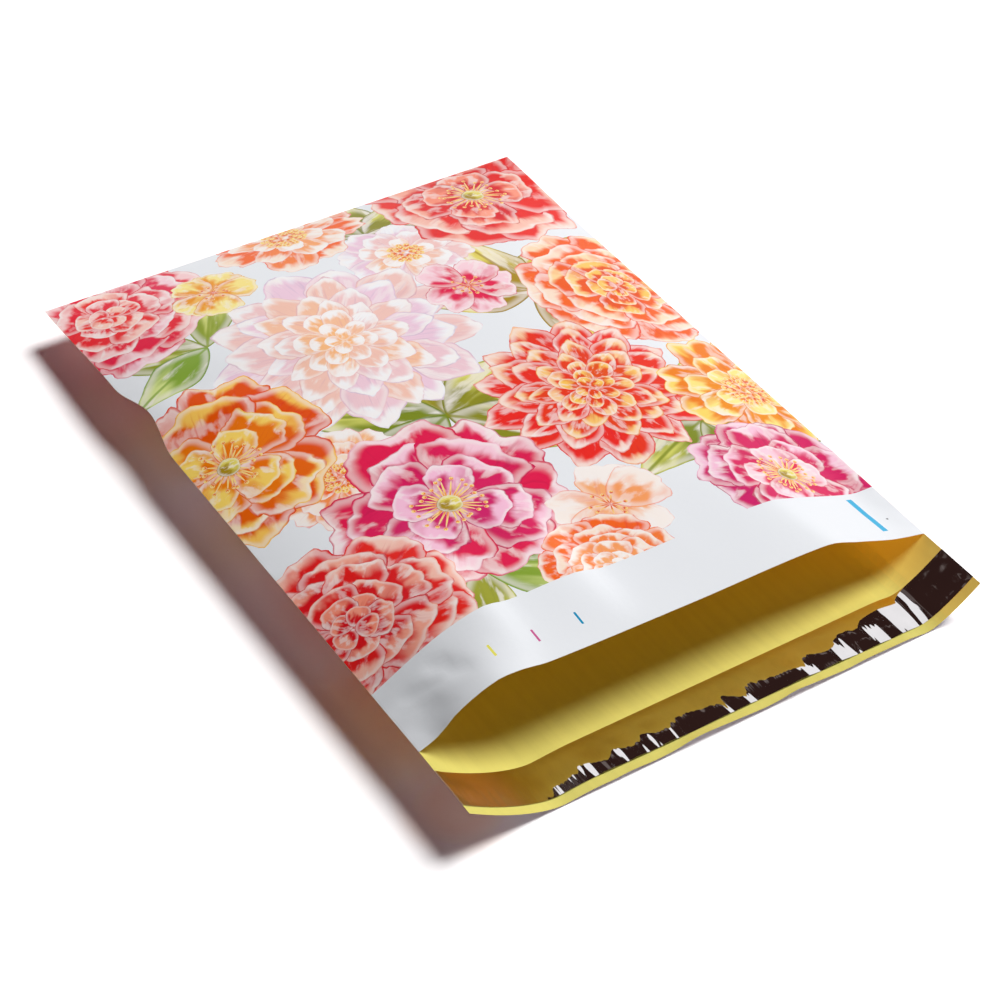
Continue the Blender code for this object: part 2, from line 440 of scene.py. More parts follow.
@dataclass(frozen=True)
class InkShape:
    """One petal, leaf or disc of ink on the flat sheet, in millimetres."""

    base: Point
    turn: float
    length: float
    half_width: float
    form: PetalForm
    wash: Wash
    brush: Brush = Brush()
    ruffle: float = 0.0
    notch: float = 0.0
    grain: float = 0.0
    cover: float = 0.3

    STEP = 1.5  # millimetres between the points of an outline
    FEWEST, MOST = 12, 110  # points of an outline
    SMOOTHING_ROUNDS = 3  # rounds that find a place's petal coordinates
    ALONG = 0.6  # how much of a ruffle also goes along the petal

    def outline(self) -> Array:
        """Draws the outline.

        Returns:
            The points on the flat sheet, anticlockwise.
        """
        shoulder, side, tip = self.form.value
        girth = 2.4 * (self.length + 2 * self.half_width)
        count = int(np.clip(girth / self.STEP / 2, self.FEWEST, self.MOST))
        theta = np.linspace(-math.pi / 2, 1.5 * math.pi, count, endpoint=False)
        sine, cosine = np.sin(theta), np.cos(theta)
        up = sine > 0
        share = np.abs(sine) ** (2 / np.where(up, tip, BASE_POWER))
        v = np.where(up, shoulder + (1 - shoulder) * share, shoulder - shoulder * share)
        u = np.sign(cosine) * np.abs(cosine) ** (2 / side)
        wave, dip = self.ruffles(theta, v), self.dip(u, v)
        along = (v * (1 + self.ALONG * wave) - dip) * self.length
        off = u * (1 + wave) * self.half_width
        c, s = math.cos(self.turn), math.sin(self.turn)
        return np.stack([self.base[0] + along * c + off * s, self.base[1] + along * s - off * c], axis=1)

    def ruffles(self, theta: Array, v: Array) -> Array:
        """Gives how far the outline waves out.

        Args:
            theta: directions from the petal's shoulder.
            v: places along the petal.

        Returns:
            The shares by which the outline widens.
        """
        rng = random.Random(round(self.grain * 1000))
        wave = sum(
            rng.uniform(0.5, 1.0) / order * np.sin(order * 2.3 * theta + rng.uniform(0, 6.28))
            for order in (2, 3, 5, 8)
        )
        return self.ruffle * wave * ease(v / 0.7)

    def dip(self, u: Array, v: Array) -> Array:
        """Gives how far the tip's notch draws the outline in."""
        return self.notch * np.exp(-((u / 0.22) ** 2)) * ease((v - 0.5) / 0.3)

    def petal_place(self, places: Array) -> Array:
        """Turns places on the flat sheet into petal coordinates, with the ruffles smoothed out.

        Args:
            places: rows of x and y, in millimetres.

        Returns:
            Rows of u, which is -1 and 1 at the petal's sides, and v, which is 1 at its tip.
        """
        shoulder, side, tip = self.form.value
        c, s = math.cos(self.turn), math.sin(self.turn)
        dx, dy = (places - self.base).T
        seen_u = (dx * s - dy * c) / self.half_width
        seen_v = (dx * c + dy * s) / self.length
        u, v = seen_u, seen_v
        for _ in range(self.SMOOTHING_ROUNDS):
            beyond = v - shoulder
            span = np.where(beyond > 0, 1 - shoulder, shoulder)
            power = np.where(beyond > 0, tip, BASE_POWER)
            rise = np.sign(beyond) * np.abs(beyond / span) ** (power / 2)
            theta = np.arctan2(rise, np.sign(u) * np.abs(u) ** (side / 2))
            theta = np.where(theta < -math.pi / 2, theta + 2 * math.pi, theta)
            wave = self.ruffles(theta, v)
            u = seen_u / (1 + wave)
            v = (seen_v + self.dip(u, v)) / (1 + self.ALONG * wave)
        return np.stack([u, v], axis=1)


def spread(rng: random.Random, amount: float) -> float:
    """Gives a random number from -amount to amount."""
    return rng.uniform(-amount, amount)


@dataclass(frozen=True)
class Ring:
    """One ring of a blossom's petals, with radii as shares of the blossom's."""

    count: int
    tip: float
    length: float
    half_width: float
    form: PetalForm
    ruffle: float = 0.03
    notch: float = 0.0


@dataclass(frozen=True)
class Blossom:
    """A flower seen from above, painted ring by ring from the outside in."""

    centre: Point
    radius: float
    outer: Palette
    inner: Palette
    seed: int
    bare_share: float = 0.70

    RINGS: ClassVar[tuple[Ring, ...]] = ()  # the rings of petals, outermost first

    def spot(self, turn: float, reach: float) -> Point:
        """Gives the point in a direction from the centre, at a reach from it."""
        return (self.centre[0] + reach * math.cos(turn), self.centre[1] + reach * math.sin(turn))

    def disc(self, radius: float, wash: Wash, ruffle: float = 0.0) -> InkShape:
        """Paints a disc round the centre."""
        left = (self.centre[0] - radius, self.centre[1])
        return InkShape(left, 0.0, 2 * radius, radius, PetalForm.OVAL, wash, ruffle=ruffle)

    def middle(self, rng: random.Random) -> list[InkShape]:
        """Paints what is inside the innermost ring."""
        return []

    def shapes(self) -> list[InkShape]:
        """Paints the blossom.

        Returns:
            Its shapes, in painting order.
        """
        rng = random.Random(self.seed)
        made = [self.disc(self.radius * 0.25, self.inner.value)]
        for level, ring in enumerate(self.RINGS):
            depth = level / max(len(self.RINGS) - 1, 1)
            bare = ring.tip - self.bare_share * ring.length
            next_tip = self.RINGS[level + 1].tip if level + 1 < len(self.RINGS) else bare
            cover = 1 - (ring.tip - next_tip) / ring.length
            start = rng.uniform(0, 2 * math.pi)
            order = list(range(ring.count))
            rng.shuffle(order)
            for i in order:
                turn = start + (i + spread(rng, 0.18)) * 2 * math.pi / ring.count
                made.append(self.petal(ring, turn, (depth, cover), rng))
        return made + self.middle(rng)

    def petal(self, ring: Ring, turn: float, layer: Point, rng: random.Random) -> InkShape:
        """Paints one petal.

        Args:
            ring: the ring that it is in.
            turn: its direction.
            layer: its depth, 0 in the outermost ring and 1 in the innermost, and the share of its
                length that the next ring covers.
            rng: the blossom's own random numbers.

        Returns:
            The petal.
        """
        depth, cover = layer
        tip = self.radius * ring.tip * (1 + spread(rng, 0.06))
        length = self.radius * ring.length * (1 + spread(rng, 0.04))
        wash = self.outer.value.towards(self.inner.value, min(max(depth + spread(rng, 0.35), 0), 1))
        return InkShape(
            self.spot(turn, tip - length),
            turn + spread(rng, 0.10),
            length,
            self.radius * ring.half_width * (1 + spread(rng, 0.14)),
            ring.form,
            wash,
            Brush(vein=rng.uniform(0.4, 0.9), wet=rng.uniform(0.7, 1.0)),
            ring.ruffle * rng.uniform(0.8, 1.3),
            ring.notch * rng.uniform(0.4, 1.2),
            round(rng.uniform(0, 60), 3),
            cover,
        )

    def stamens(self, rng: random.Random, count: int, reach: float, wash: Wash) -> list[InkShape]:
        """Paints a ring of fine stamens with their dots.

        Args:
            rng: the blossom's own random numbers.
            count: how many there are.
            reach: how far they stand out, in millimetres.
            wash: their tones.

        Returns:
            The stamens.
        """
        made: list[InkShape] = []
        dry = Brush(vein=0.2, wet=0.6)
        for i in range(count):
            turn = (i + spread(rng, 0.4)) * 2 * math.pi / count
            length = reach * rng.uniform(0.65, 1.0)
            made.append(InkShape(self.centre, turn, length, 0.45, PetalForm.OVAL, wash, dry))
            made.append(InkShape(self.spot(turn, length), turn, 2.2, 1.0, PetalForm.OVAL, wash, dry))
        return made


class Dahlia(Blossom):
    """A full blossom of many pointed petals."""

    RINGS = (
        Ring(13, 1.00, 0.60, 0.215, PetalForm.POINTED, 0.075),
        Ring(12, 0.84, 0.54, 0.190, PetalForm.POINTED, 0.075),
        Ring(11, 0.68, 0.46, 0.160, PetalForm.POINTED, 0.07),
        Ring(9, 0.53, 0.38, 0.135, PetalForm.POINTED, 0.06),
        Ring(8, 0.39, 0.29, 0.110, PetalForm.OVAL, 0.06),
        Ring(6, 0.26, 0.21, 0.085, PetalForm.OVAL, 0.05),
        Ring(4, 0.15, 0.15, 0.065, PetalForm.OVAL, 0.04),
    )


class Poppy(Blossom):
    """An open blossom of a few broad ruffled petals round a ring of stamens."""

    RINGS = (
        Ring(6, 1.00, 0.92, 0.50, PetalForm.ROUND, 0.13, 0.05),
        Ring(5, 0.84, 0.76, 0.42, PetalForm.ROUND, 0.13, 0.04),
        Ring(4, 0.65, 0.58, 0.34, PetalForm.ROUND, 0.12, 0.03),
        Ring(4, 0.47, 0.42, 0.24, PetalForm.ROUND, 0.10),
    )

    def middle(self, rng: random.Random) -> list[InkShape]:
        """Paints the stamens and the heart."""
        made = self.stamens(rng, 26, self.radius * 0.30, Palette.GOLD.value)
        return [*made, self.disc(self.radius * 0.11, Palette.OLIVE.value, 0.06)]


class Cosmos(Blossom):
    """A flat blossom of eight notched petals round a golden eye."""

    RINGS = (
        Ring(8, 1.00, 0.92, 0.33, PetalForm.ROUND, 0.10, 0.08),
        Ring(7, 0.74, 0.66, 0.25, PetalForm.ROUND, 0.09, 0.06),
        Ring(5, 0.46, 0.40, 0.17, PetalForm.ROUND, 0.07, 0.03),
    )

    def middle(self, rng: random.Random) -> list[InkShape]:
        """Paints the eye as a cluster of small dots.

        Args:
            rng: the blossom's own random numbers.

        Returns:
            The dots.
        """
        made: list[InkShape] = []
        size = self.radius * 0.055
        for ring, count in ((0.17, 13), (0.11, 9), (0.05, 5)):
            for i in range(count):
                turn = (i + spread(rng, 0.3)) * 2 * math.pi / count
                spot = self.spot(turn, self.radius * ring)
                wash = Palette.GOLD.value.towards(Palette.ORANGE.value, rng.random())
                made.append(InkShape(spot, turn, 2.2 * size, size, PetalForm.OVAL, wash, Brush(0.2, 0, 0.8)))
        return made


class Camellia(Blossom):
    """A full blossom of broad rounded petals that overlap like tiles."""

    RINGS = (
        Ring(7, 1.00, 0.66, 0.42, PetalForm.ROUND, 0.11, 0.06),
        Ring(6, 0.84, 0.60, 0.39, PetalForm.ROUND, 0.11, 0.05),
        Ring(6, 0.67, 0.52, 0.31, PetalForm.ROUND, 0.10, 0.04),
        Ring(5, 0.50, 0.42, 0.26, PetalForm.ROUND, 0.09, 0.03),
        Ring(5, 0.34, 0.31, 0.175, PetalForm.ROUND, 0.08),
        Ring(4, 0.20, 0.20, 0.110, PetalForm.ROUND, 0.06),
    )


class Pansy(Blossom):
    """A small simple blossom of five petals."""

    RINGS = (Ring(5, 1.00, 0.95, 0.46, PetalForm.ROUND, 0.11, 0.08),)

    def middle(self, rng: random.Random) -> list[InkShape]:
        """Paints a few short stamens."""
        return self.stamens(rng, 9, self.radius * 0.28, Palette.ORANGE.value)


@dataclass(frozen=True)
class Sprig:
    """A few leaves that fan out from one point."""

    root: Point
    turns: tuple[float, ...]
    length: float
    wash: Palette
    seed: int

    def shapes(self) -> list[InkShape]:
        """Paints the leaves.

        Returns:
            One shape for each leaf.
        """
        rng = random.Random(self.seed)
        return [
            InkShape(
                self.root,
                math.radians(turn),
                self.length * rng.uniform(0.85, 1.1),
                self.length * rng.uniform(0.20, 0.27),
                PetalForm.LEAF,
                self.wash.value.towards(Palette.OLIVE.value, rng.uniform(0, 0.6)),
                Brush(vein=0.5, rib=0.8, wet=1.0),
                ruffle=0.05,
                grain=round(rng.uniform(0, 60), 3),
            )
            for turn in self.turns
        ]


@dataclass(frozen=True)
class Mark:
    """A small straight bar of plain ink, as printers use to line up their colours."""

    low: Point
    high: Point
    tone: Tone

    def outline(self) -> Array:
        """Gives the bar's four corners."""
        (x0, y0), (x1, y1) = self.low, self.high
        return np.array([(x0, y0), (x1, y0), (x1, y1), (x0, y1)])


@dataclass
class PrintPlan:
    """What is printed on the flat sheet, in painting order."""

    ground: Tone = (239, 241, 245)
    front: tuple[Blossom | Sprig, ...] = (
        Sprig((-20, 150), (95, 150, 205, 20, -40), 68, Palette.LEAF, 11),
        Sprig((66, 212), (40, 170, -80, 100), 62, Palette.OLIVE, 12),
        Sprig((-84, 250), (150, 200, 60), 56, Palette.SPRING, 13),
        Sprig((24, 296), (80, 30, 130, -30), 54, Palette.LEAF, 14),
        Sprig((-62, 60), (200, 250, 320, 10), 56, Palette.SPRING, 15),
        Sprig((78, 96), (60, 205, 275, -25), 56, Palette.LEAF, 16),
        Cosmos((30, 268), 32, Palette.PEARL, Palette.BLUSH, 36),
        Cosmos((-78, 140), 32, Palette.BLUSH, Palette.PEACH, 37),
        Camellia((-106, 306), 49, Palette.ROSE, Palette.CORAL, 21),
        Poppy((90, 304), 53, Palette.CORAL, Palette.SCARLET, 22),
        Cosmos((-6, 322), 40, Palette.PEACH, Palette.BLUSH, 23),
        Dahlia((-32, 218), 63, Palette.PEARL, Palette.BLUSH, 24),
        Poppy((-112, 178), 48, Palette.ORANGE, Palette.GOLD, 25),
        Camellia((108, 204), 48, Palette.PEACH, Palette.ORANGE, 26),
        Dahlia((46, 136), 54, Palette.CORAL, Palette.ORANGE, 27),
        Poppy((-50, 100), 52, Palette.ROSE, Palette.MAGENTA, 28),
        Camellia((-116, 66), 49, Palette.CORAL, Palette.SCARLET, 29),
        Cosmos((116, 112), 42, Palette.GOLD, Palette.LEMON, 30),
        Pansy((8, 66), 28, Palette.BLUSH, Palette.PEACH, 31),
        Poppy((92, 52), 42, Palette.MAGENTA, Palette.ROSE, 32),
        Camellia((-12, 32), 32, Palette.PEACH, Palette.BLUSH, 33),
        Pansy((40, 228), 24, Palette.ROSE, Palette.ROSE, 34),
        Pansy((-60, 290), 22, Palette.LEMON, Palette.GOLD, 35),
    )
    marks: tuple[Mark, ...] = (
        Mark((-85.8, 10.8), (-84.7, 17.2), (240, 232, 104)),
        Mark((-65.5, 10.4), (-64.5, 16.9), (206, 92, 150)),
        Mark((-45.0, 10.4), (-44.0, 16.9), (0, 146, 190)),
        Mark((108.7, 6.4), (111.7, 31.2), (60, 178, 222)),
        Mark((117.4, 13.6), (118.4, 14.6), (140, 140, 142)),
    )
    back_washes: tuple[Palette, ...] = (
        Palette.CORAL, Palette.SCARLET, Palette.ROSE, Palette.MAGENTA, Palette.ORANGE,
        Palette.LEMON, Palette.PEACH, Palette.BLUSH, Palette.GOLD, Palette.PEARL,
    )
    band: float = 35.0
    fold: float = 330.0
    back_band: float = 655.0
    back_rows: int = 5
    back_columns: int = 4
    back_start: Point = (-118.0, 372.0)
    back_pitch: Point = (76.0, 64.0)
    back_spread: float = 8.0
    back_leaf: float = 52.0

    def shapes(self) -> list[InkShape]:
        """Paints the whole sheet.

        Returns:
            Every shape, the front panel's first.
        """
        made = [shape for motif in self.front for shape in motif.shapes()]
        return made + [shape for motif in self.back() for shape in motif.shapes()]

    def back(self) -> list[Blossom | Sprig]:
        """Lays out the back panel's motifs in staggered rows.

        Returns:
            The leaves and blossoms, in painting order.
        """
        rng = random.Random(7)
        kinds = (Poppy, Camellia, Cosmos, Dahlia, Poppy, Camellia)
        leaves: list[Sprig] = []
        blossoms: list[Blossom] = []
        (left, start), (pitch, row_pitch) = self.back_start, self.back_pitch
        for row in range(self.back_rows):
            for column in range(self.back_columns):
                x = left + (column + (row % 2) / 2) * pitch + spread(rng, self.back_spread)
                radius = rng.uniform(40, 50)
                y = start + row * row_pitch + spread(rng, self.back_spread)
                y = max(y, self.fold + 1.2 * radius)
                turns = tuple(rng.uniform(20, 160) for _ in range(3))
                green = rng.choice((Palette.LEAF, Palette.OLIVE, Palette.SPRING))
                seed = row * 9 + column
                leaves.append(Sprig((x + 30, y + 16), turns, self.back_leaf, green, seed))
                kind = kinds[(row * 4 + column + row) % len(kinds)]
                outer, inner = rng.sample(self.back_washes, 2)
                blossoms.append(kind((x, y), radius, outer, inner, 100 + seed))
        return [*leaves, *blossoms]


@dataclass
class FlatSheet:
    """The flat sheet cut into triangles, each of one ink."""

    points: Array
    triangles: Array
    ink: Array
    inks: list[InkShape | Mark]


@dataclass
class SheetCutter:
    """Cuts the flat sheet along the outlines of the print."""

    plan: PrintPlan
    half_width: float = 127.0
    length: float = 696.0
    column_step: float = 4.0
    row_step: float = 3.5
    back_row_step: float = 5.0
    band_rows: int = 15
    flap_rows: int = 18
    side_steps: tuple[float, ...] = (0.0, 1.2, 3.0, 5.3)
    side_margin: float = 8.0
    clearance: float = 0.9
    merge: float = 0.02

    def columns(self) -> Array:
        """Gives the places of the columns of points, closer together at the sides."""
        inner = self.half_width - self.side_margin
        middle = np.linspace(-inner, inner, round(2 * inner / self.column_step) + 1)
        side = np.array(self.side_steps)
        return np.concatenate([-self.half_width + side, middle, (self.half_width - side)[::-1]])

    def rows(self) -> Array:
        """Gives the places of the rows of points, from the lip to the end of the flap."""
        band, fold, back_band = self.plan.band, self.plan.fold, self.plan.back_band
        parts = (
            np.linspace(0, band, self.band_rows)[:-1],
            np.linspace(band, fold, round((fold - band) / self.row_step) + 1)[:-1],
            np.linspace(fold, back_band, round((back_band - fold) / self.back_row_step) + 1)[:-1],
            np.linspace(back_band, self.length, self.flap_rows),
        )
        return np.concatenate(parts)

    def cut(self) -> FlatSheet:
        """Cuts the sheet along every outline, then again along the borders that show.

        Returns:
            The flat sheet in triangles.
        """
        inks: list[InkShape | Mark] = [*self.plan.shapes(), *self.plan.marks]
        nothing = np.empty((0, 2))
        points, triangles, ink = self.triangulate([ink.outline() for ink in inks], nothing, nothing)
        middle = points[triangles][:, :, 1].mean(axis=1)
        flowers = ink <= len(inks) - len(self.plan.marks)
        ink[flowers & ((middle < self.plan.band) | (middle > self.plan.back_band))] = 0

        used, borders = np.unique(self.borders(triangles, ink), return_inverse=True)
        shown, pieces, _ = self.triangulate([], points[used], borders.reshape(-1, 2))
        tree = BVHTree.FromPolygons([(x, y, 0.0) for x, y in points], triangles.tolist())
        under = [tree.find_nearest((x, y, 0.0))[2] for x, y in shown[pieces].mean(axis=1)]
        return FlatSheet(shown, pieces, ink[under], inks)

    def triangulate(
        self, outlines: list[Array], corners: Array, borders: Array
    ) -> tuple[Array, Array, Array]:
        """Joins the sheet's grid, closed outlines and single borders into triangles.

        Args:
            outlines: the closed outlines, lowest first.
            corners: the points of the borders.
            borders: pairs of corners, by number.

        Returns:
            The points, the triangles, and the number of the topmost outline over each triangle,
            from 1, or 0 where there is none.
        """
        columns, rows = self.columns(), self.rows()
        grid = np.stack(np.meshgrid(columns, rows), axis=-1).reshape(-1, 2)
        index = np.arange(len(grid)).reshape(len(rows), len(columns))
        rim = np.concatenate([index[0, :-1], index[:-1, -1], index[-1, :0:-1], index[:0:-1, 0]])
        ends = (self.plan.band, self.plan.fold, self.plan.back_band)
        across = [int(np.argmin(np.abs(rows - at))) for at in ends]
        lines = [(int(a), int(b)) for row in across for a, b in zip(index[row, :-1], index[row, 1:])]

        fixed = set(rim.tolist()) | {i for line in lines for i in line}
        keep = self.clear_of(grid, [*outlines, corners], fixed)
        renumber = np.cumsum(keep) - 1
        points = [Vector(p) for p in grid[keep]]
        faces = [[int(renumber[i]) for i in rim]]
        edges = [(int(renumber[a]), int(renumber[b])) for a, b in lines]
        edges += [(len(points) + int(a), len(points) + int(b)) for a, b in borders]
        points.extend(Vector(p) for p in corners)
        for outline in outlines:
            faces.append(list(range(len(points), len(points) + len(outline))))
            points.extend(Vector(p) for p in outline)

        made = delaunay_2d_cdt(points, edges, faces, 1, self.merge, True)
        inside = [(face, max(covers)) for face, covers in zip(made[2], made[5]) if 0 in covers]
        triangles = np.array([face for face, _ in inside])
        return np.array([tuple(v) for v in made[0]]), triangles, np.array([top for _, top in inside])

    def borders(self, triangles: Array, ink: Array) -> Array:
        """Finds the edges where two inks meet.

        Args:
            triangles: the triangles' corners, by number.
            ink: each triangle's ink.

        Returns:
            Pairs of corners.
        """
        sides = np.concatenate([triangles[:, [0, 1]], triangles[:, [1, 2]], triangles[:, [2, 0]]])
        sides = np.sort(sides, axis=1)
        owner = np.tile(ink, 3)
        order = np.lexsort((sides[:, 1], sides[:, 0]))
        sides, owner = sides[order], owner[order]
        shared = (sides[1:] == sides[:-1]).all(axis=1)
        return sides[:-1][shared & (owner[1:] != owner[:-1])]

    def clear_of(self, grid: Array, outlines: list[Array], fixed: set[int]) -> Array:
        """Finds the grid points that don't crowd an outline.

        Args:
            grid: the grid's points.
            outlines: the print's outlines.
            fixed: the points that stay in any case.

        Returns:
            True for each point that is kept.
        """
        cell = self.clearance
        taken = {(round(x / cell), round(y / cell)) for outline in outlines for x, y in outline}
        near = [(round(x / cell), round(y / cell)) in taken for x, y in grid]
        return np.array([i in fixed or not crowded for i, crowded in enumerate(near)])


@dataclass
class NodeSketch:
    """Short calls for building a material's nodes."""

    tree: bpy.types.ShaderNodeTree

    def add(self, kind: str, inputs: dict | None = None, **settings: object) -> bpy.types.Node:
        """Adds a node.

        Args:
            kind: the node's type, without the ShaderNode that each begins with.
            inputs: what goes into it, by the input's name or number.
            settings: properties to set on it.

        Returns:
            The new node.
        """
        node = self.tree.nodes.new("ShaderNode" + kind)
        for name, value in settings.items():
            setattr(node, name, value)
        for name, value in (inputs or {}).items():
            self.join(value, node.inputs[name])
        return node

    def join(self, value: object, socket: Socket) -> None:
        """Links a socket to another, or sets it where the value is a plain one."""
        if isinstance(value, Socket):
            self.tree.links.new(value, socket)
        elif isinstance(value, tuple) and len(value) == 3 and socket.type == "RGBA":
            socket.default_value = (*value, 1.0)
        else:
            socket.default_value = value

    def math(self, operation: str, *values: object) -> Socket:
        """Adds a Math node and returns its result."""
        return self.add("Math", dict(enumerate(values)), operation=operation).outputs[0]

    times = partialmethod(math, "MULTIPLY")
    minus = partialmethod(math, "SUBTRACT")
    times_plus = partialmethod(math, "MULTIPLY_ADD")

    def step(self, value: object, low: float, high: float) -> Socket:
        """Goes smoothly from 0 to 1 as the value goes from low to high."""
        inputs = {"Value": value, "From Min": low, "From Max": high}
        return self.add("MapRange", inputs, interpolation_type="SMOOTHSTEP").outputs["Result"]

    def mix(self, share: object, first: object, second: object) -> Socket:
        """Mixes two colours."""
        inputs = {"Factor": share, "A": first, "B": second}
        return self.add("Mix", inputs, data_type="RGBA").outputs["Result"]

    def noise(self, vector: object, scale: float, detail: float = 2.0) -> Socket:
        """Adds a noise texture and returns its value."""
        return self.add("TexNoise", {"Vector": vector, "Scale": scale, "Detail": detail}).outputs["Fac"]

    def combine(self, *values: object) -> Socket:
        """Joins three numbers into a vector."""
        return self.add("CombineXYZ", dict(enumerate(values))).outputs[0]

    def separate(self, vector: object) -> tuple[Socket, ...]:
        """Splits a vector into three numbers."""
        return tuple(self.add("SeparateXYZ", {0: vector}).outputs)

    def attribute(self, name: str, output: str = "Vector") -> Socket:
        """Reads one of the mesh's attributes."""
        return self.add("Attribute", attribute_name=name).outputs[output]

    def place(self) -> Socket:
        """Reads the place on the object, in metres."""
        return self.add("TexCoord").outputs["Object"]

    def bump(self, height: object, strength: float, distance: float) -> Socket:
        """Turns a height into a bumped normal."""
        inputs = {"Height": height, "Strength": strength, "Distance": distance}
        return self.add("Bump", inputs).outputs["Normal"]

    def show(self, shader: bpy.types.Node) -> None:
        """Shows a shader on the material's surface."""
        self.join(shader.outputs[0], self.tree.nodes["Material Output"].inputs["Surface"])


@dataclass(frozen=True)
class Finish:
    """A surface finish, made as one Principled material."""

    name: str
    tone: Tone
    roughness: float
    metallic: float = 0.0
    specular: float = 0.5

    SKIN = (420.0, 0.10, 0.0004)  # the fine skin's scale, strength and depth in metres

    def material(self) -> bpy.types.Material:
        """Makes the material.

        Returns:
            The material, painted by this finish's own nodes.
        """
        made = bpy.data.materials.new(self.name)
        made.use_nodes = True
        sketch = NodeSketch(made.node_tree)
        shader = made.node_tree.nodes["Principled BSDF"]
        plain = {
            "Base Color": linear(self.tone),
            "Roughness": self.roughness,
            "Metallic": self.metallic,
            "Specular IOR Level": self.specular,
        }
        for values in (plain, self.paint(sketch)):
            for name, value in values.items():
                sketch.join(value, shader.inputs[name])
        return made

    def paint(self, sketch: NodeSketch) -> dict[str, object]:
        """Gives what this finish's own nodes bring to the shader, by the input's name."""
        return {}

    def shade(self, sketch: NodeSketch, share: Socket, least: float) -> Socket:
        """Gives the finish's tone, dimmed to the least share of itself where the share is 0."""
        tone = linear(self.tone)
        return sketch.mix(share, tuple(c * least for c in tone), tone)

    def skin(self, sketch: NodeSketch) -> Socket:
        """Gives the normal of a film's fine skin."""
        scale, strength, depth = self.SKIN
        return sketch.bump(sketch.noise(sketch.place(), scale), strength, depth)


@dataclass(frozen=True)
class PrintedFilm(Finish):
    """White film with watercolour petals, painted in each petal's own coordinates.

    A window is where something starts and where it is in full.
    """

    highlight: Tone = (254, 246, 243)
    sway: float = 2.6
    speckling: float = 0.5
    body_window: Point = (0.0, 0.58)
    flank_window: Point = (0.25, 1.10)
    flank_depth: float = 0.62
    pale_window: Point = (0.51, 0.64)
    pale_depth: float = 0.60
    vein_window: Point = (0.52, 0.72)
    vein_fading: Point = (0.80, -0.30)
    vein_depth: float = 0.55
    halo_inside: Point = (0.50, 0.84)
    halo_outside: Point = (0.88, 0.97)
    halo_depth: float = 0.48
    pressure_window: Point = (0.34, 0.60)
    line_window: Point = (0.90, 1.00)
    midrib_window: Point = (0.02, 0.09)

    def edge(self, sketch: NodeSketch, u: Socket, v: Socket) -> Socket:
        """Measures how near a place is to its petal's outline.

        Args:
            sketch: the material's nodes.
            u: the place across the petal.
            v: the place along the petal.

        Returns:
            A number that is 0 at the petal's shoulder and 1 on its outline.
        """
        shoulder, side, tip = sketch.separate(sketch.attribute("form"))
        beyond = sketch.minus(v, shoulder)
        outward = sketch.math("GREATER_THAN", beyond, 0.0)
        longer = sketch.minus(sketch.minus(1.0, shoulder), shoulder)
        span = sketch.times_plus(outward, longer, shoulder)
        power = sketch.times_plus(outward, sketch.minus(tip, BASE_POWER), BASE_POWER)
        height = sketch.math("DIVIDE", sketch.math("ABSOLUTE", beyond), span)
        width = sketch.math("POWER", sketch.math("ABSOLUTE", u), side)
        return sketch.math("ADD", width, sketch.math("POWER", height, power))

    def paint(self, sketch: NodeSketch) -> dict[str, object]:
        """Paints the washes, veins, rims and midribs of the print.

        Args:
            sketch: the material's nodes.

        Returns:
            The colour and the normal.
        """
        u, v, _ = sketch.separate(sketch.add("UVMap", uv_map="petal").outputs[0])
        grain, cover, _ = sketch.separate(sketch.attribute("grain"))
        vein, rib, wet = sketch.separate(sketch.attribute("brush"))
        heart, body, rim = (sketch.attribute(name, "Color") for name in ("heart", "body", "rim"))
        highlight = linear(self.highlight)

        drift = sketch.minus(sketch.noise(sketch.combine(u, v, grain), 1.3), 0.5)
        patch = sketch.noise(sketch.combine(v, grain, u), 2.6, 4.0)
        streak = sketch.noise(sketch.combine(sketch.times(u, 8.0), v, grain), 1.3)
        speckle = sketch.minus(patch, 0.5)

        past = sketch.math("DIVIDE", sketch.minus(v, cover), sketch.minus(1.0, cover))
        along = sketch.times_plus(speckle, self.speckling, sketch.times_plus(drift, self.sway, past))
        colour = sketch.mix(sketch.step(along, *self.body_window), heart, body)

        flank = sketch.step(sketch.times_plus(drift, self.sway, u), *self.flank_window)
        flank = sketch.times(flank, sketch.times(wet, self.flank_depth))
        colour = sketch.mix(flank, colour, sketch.mix(0.35, heart, rim))

        pale = sketch.times(sketch.step(patch, *self.pale_window), sketch.times(wet, self.pale_depth))
        colour = sketch.mix(pale, colour, highlight)

        veins = sketch.times(sketch.step(streak, *self.vein_window), vein)
        veins = sketch.times(sketch.times(veins, sketch.step(past, *self.vein_fading)), self.vein_depth)
        colour = sketch.mix(veins, colour, rim)

        edge = self.edge(sketch, u, v)
        halo = sketch.minus(sketch.step(edge, *self.halo_inside), sketch.step(edge, *self.halo_outside))
        colour = sketch.mix(sketch.times(halo, self.halo_depth), colour, highlight)
        pressure = sketch.times_plus(sketch.step(patch, *self.pressure_window), 0.66, 0.14)
        line = sketch.step(sketch.times_plus(speckle, 0.20, edge), *self.line_window)
        colour = sketch.mix(sketch.times(line, sketch.times(wet, pressure)), colour, rim)

        midrib = sketch.minus(1.0, sketch.step(sketch.math("ABSOLUTE", u), *self.midrib_window))
        colour = sketch.mix(sketch.times(midrib, rib), colour, heart)
        return {"Base Color": colour, "Normal": self.skin(sketch)}


